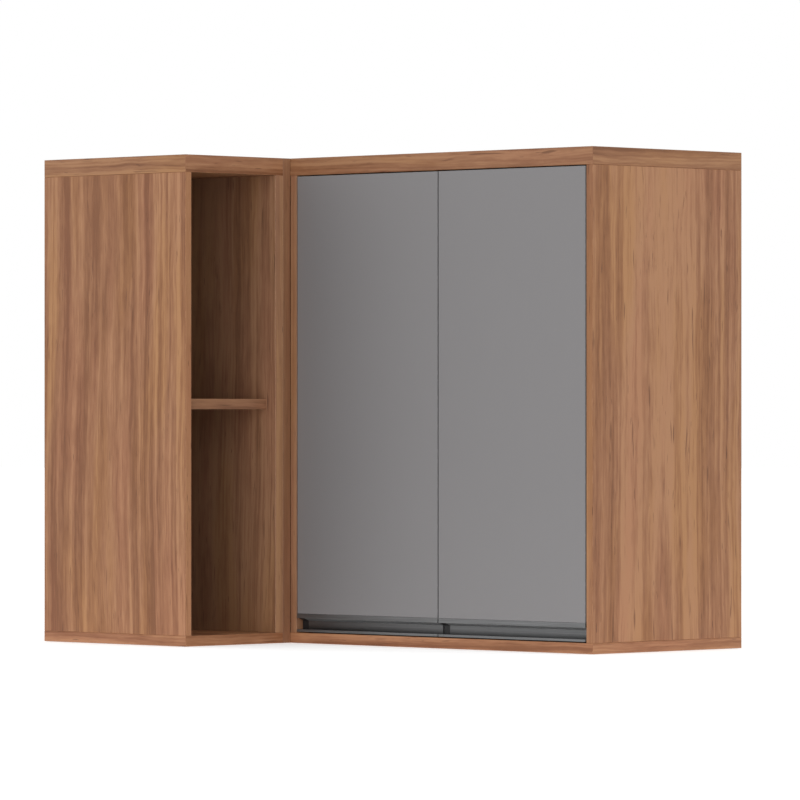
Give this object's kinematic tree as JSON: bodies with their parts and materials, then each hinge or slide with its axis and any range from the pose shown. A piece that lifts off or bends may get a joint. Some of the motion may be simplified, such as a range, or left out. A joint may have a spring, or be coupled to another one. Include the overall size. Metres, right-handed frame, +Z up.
{
  "type": "corner wall cabinet",
  "caption": "L-shaped corner wall cabinet of wood-grain board: hinged grey doors with grip profiles on the long leg, an open shelved niche at the end of the short leg.",
  "frame": {"origin": "centre of the bounding box in plan, at the underside of the cabinet", "axes": "+Z up; +Y towards the back wall; -X towards the left wall; the doors face -Y and the niche faces +X"},
  "size_m": [0.894, 0.519, 0.7],
  "materials": {
    "wood_laminate": "walnut-coloured wood-grain laminate, satin",
    "grey_door": "satin grey laminate",
    "anodised_grip": "dark anodised aluminium, satin",
    "back_hardboard": "thin hardboard, wood-grain printed face, brown rear",
    "hinge_steel": "nickel-plated stamped steel",
    "hinge_cup_metal": "nickel-plated die casting",
    "pin_steel": "plain steel",
    "beech_dowel": "plain beech"
  },
  "bodies": {
    "carcass": {"blind_panel": "wood_laminate", "corner_stile": "wood_laminate", "left_hinge_arms": "hinge_steel", "left_hinge_plates": "hinge_steel", "left_side": "wood_laminate", "main_back_panel": "back_hardboard", "main_bottom": "wood_laminate", "main_lower_rail": "wood_laminate", "main_shelf": "wood_laminate", "main_top": "wood_laminate", "main_upper_rail": "wood_laminate", "niche_back_panel": "back_hardboard", "niche_bottom": "wood_laminate", "niche_end_panel": "wood_laminate", "niche_inner_side": "wood_laminate", "niche_lower_rail": "wood_laminate", "niche_shelf": "wood_laminate", "niche_shelf_dowels": "beech_dowel", "niche_top": "wood_laminate", "niche_upper_rail": "wood_laminate", "right_hinge_arms": "hinge_steel", "right_hinge_plates": "hinge_steel", "right_side": "wood_laminate", "shelf_pins": "pin_steel"},
    "left_door_leaf": {"left_door": "grey_door", "left_grip": "anodised_grip", "left_hinge_cups": "hinge_cup_metal", "left_hinge_pins": "pin_steel"},
    "right_door_leaf": {"right_door": "grey_door", "right_grip": "anodised_grip", "right_hinge_cups": "hinge_cup_metal", "right_hinge_pins": "pin_steel"}
  },
  "joints": [
    {"name": "left_door_hinge", "type": "hinge", "parent": "carcass", "child": "left_door_leaf", "pos_m": [-0.122, -0.0448, 0.345], "axis": [0, 0, -1], "range_deg": [0, 92]},
    {"name": "right_door_hinge", "type": "hinge", "parent": "carcass", "child": "right_door_leaf", "pos_m": [0.421, -0.0448, 0.345], "axis": [0, 0, 1], "range_deg": [0, 105]}
  ]
}
